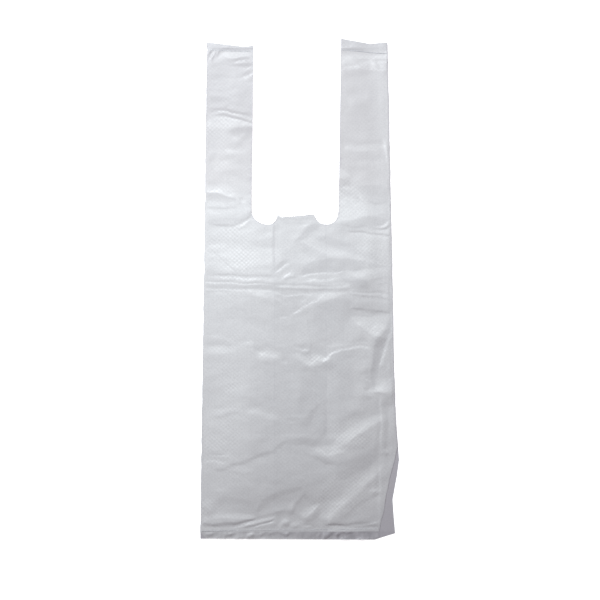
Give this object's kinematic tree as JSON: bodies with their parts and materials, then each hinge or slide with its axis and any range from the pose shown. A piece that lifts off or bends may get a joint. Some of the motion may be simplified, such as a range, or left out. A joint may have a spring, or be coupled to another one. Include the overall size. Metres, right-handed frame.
{
  "type": "plastic carrier bag",
  "caption": "Vest-shaped carrier bag of thin embossed white film, lying flat, with side gussets, loop handles and straight heat seals.",
  "frame": {"origin": "centre of the bounding box's bottom, under the middle of the back panel", "axes": "+Y up the bag from the bottom seal to the handles, +Z out of the front panel, +X to the right of someone who faces the front panel with the handles up"},
  "size_m": [0.1996, 0.5019, 0.0095],
  "materials": {
    "film": "translucent white blown film, satin, with a fine diamond emboss"
  },
  "bodies": {
    "root": {"carrier_bag": "film"}
  },
  "joints": []
}
